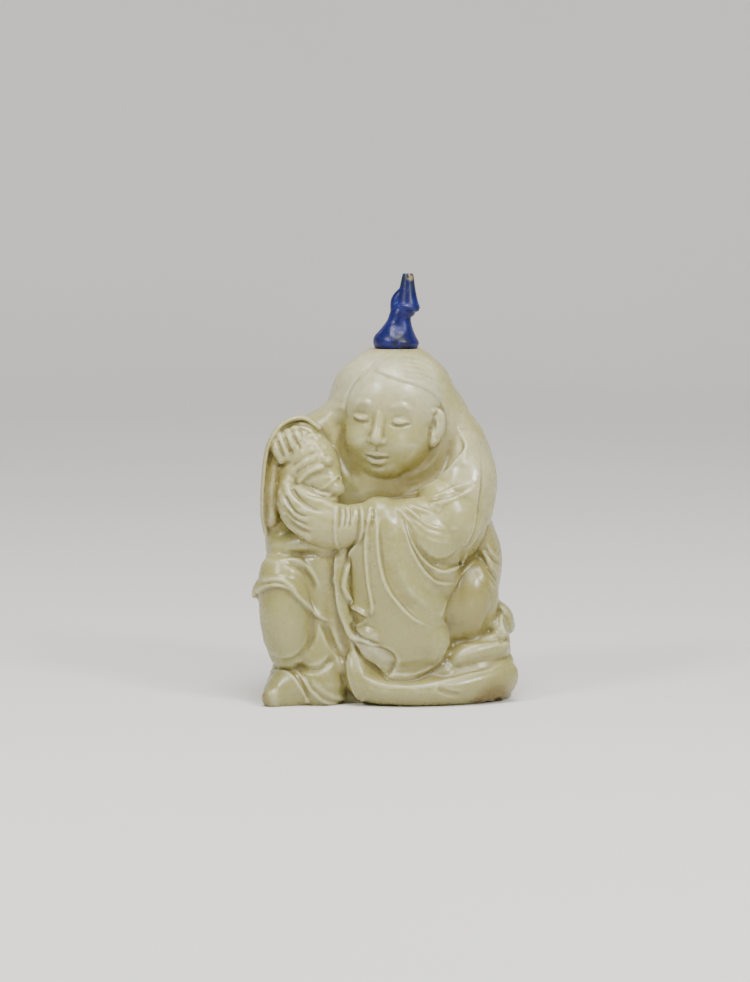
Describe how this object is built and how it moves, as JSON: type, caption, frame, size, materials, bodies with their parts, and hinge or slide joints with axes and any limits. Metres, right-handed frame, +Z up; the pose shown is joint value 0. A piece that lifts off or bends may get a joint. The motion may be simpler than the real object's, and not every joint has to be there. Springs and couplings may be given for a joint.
{
  "type": "snuff bottle",
  "caption": "Carved stone snuff bottle shaped as a kneeling figure lifting a toad, hollow inside, with a small pointed stone stopper resting in the mouth on its crown.",
  "frame": {"origin": "on the flat underside, under the middle of the figure, where the bottle stands on the ground", "axes": "+Z up through the head to the stopper; -Y the side the figure faces; +X to the right of someone facing it"},
  "size_m": [0.0452, 0.0298, 0.0728],
  "materials": {
    "pale_jade": "polished pale green-white jade, opaque to the eye",
    "blue_stone": "polished deep blue lapis, opaque"
  },
  "bodies": {
    "root": {"bottle": "pale_jade", "stopper": "blue_stone"}
  },
  "joints": []
}
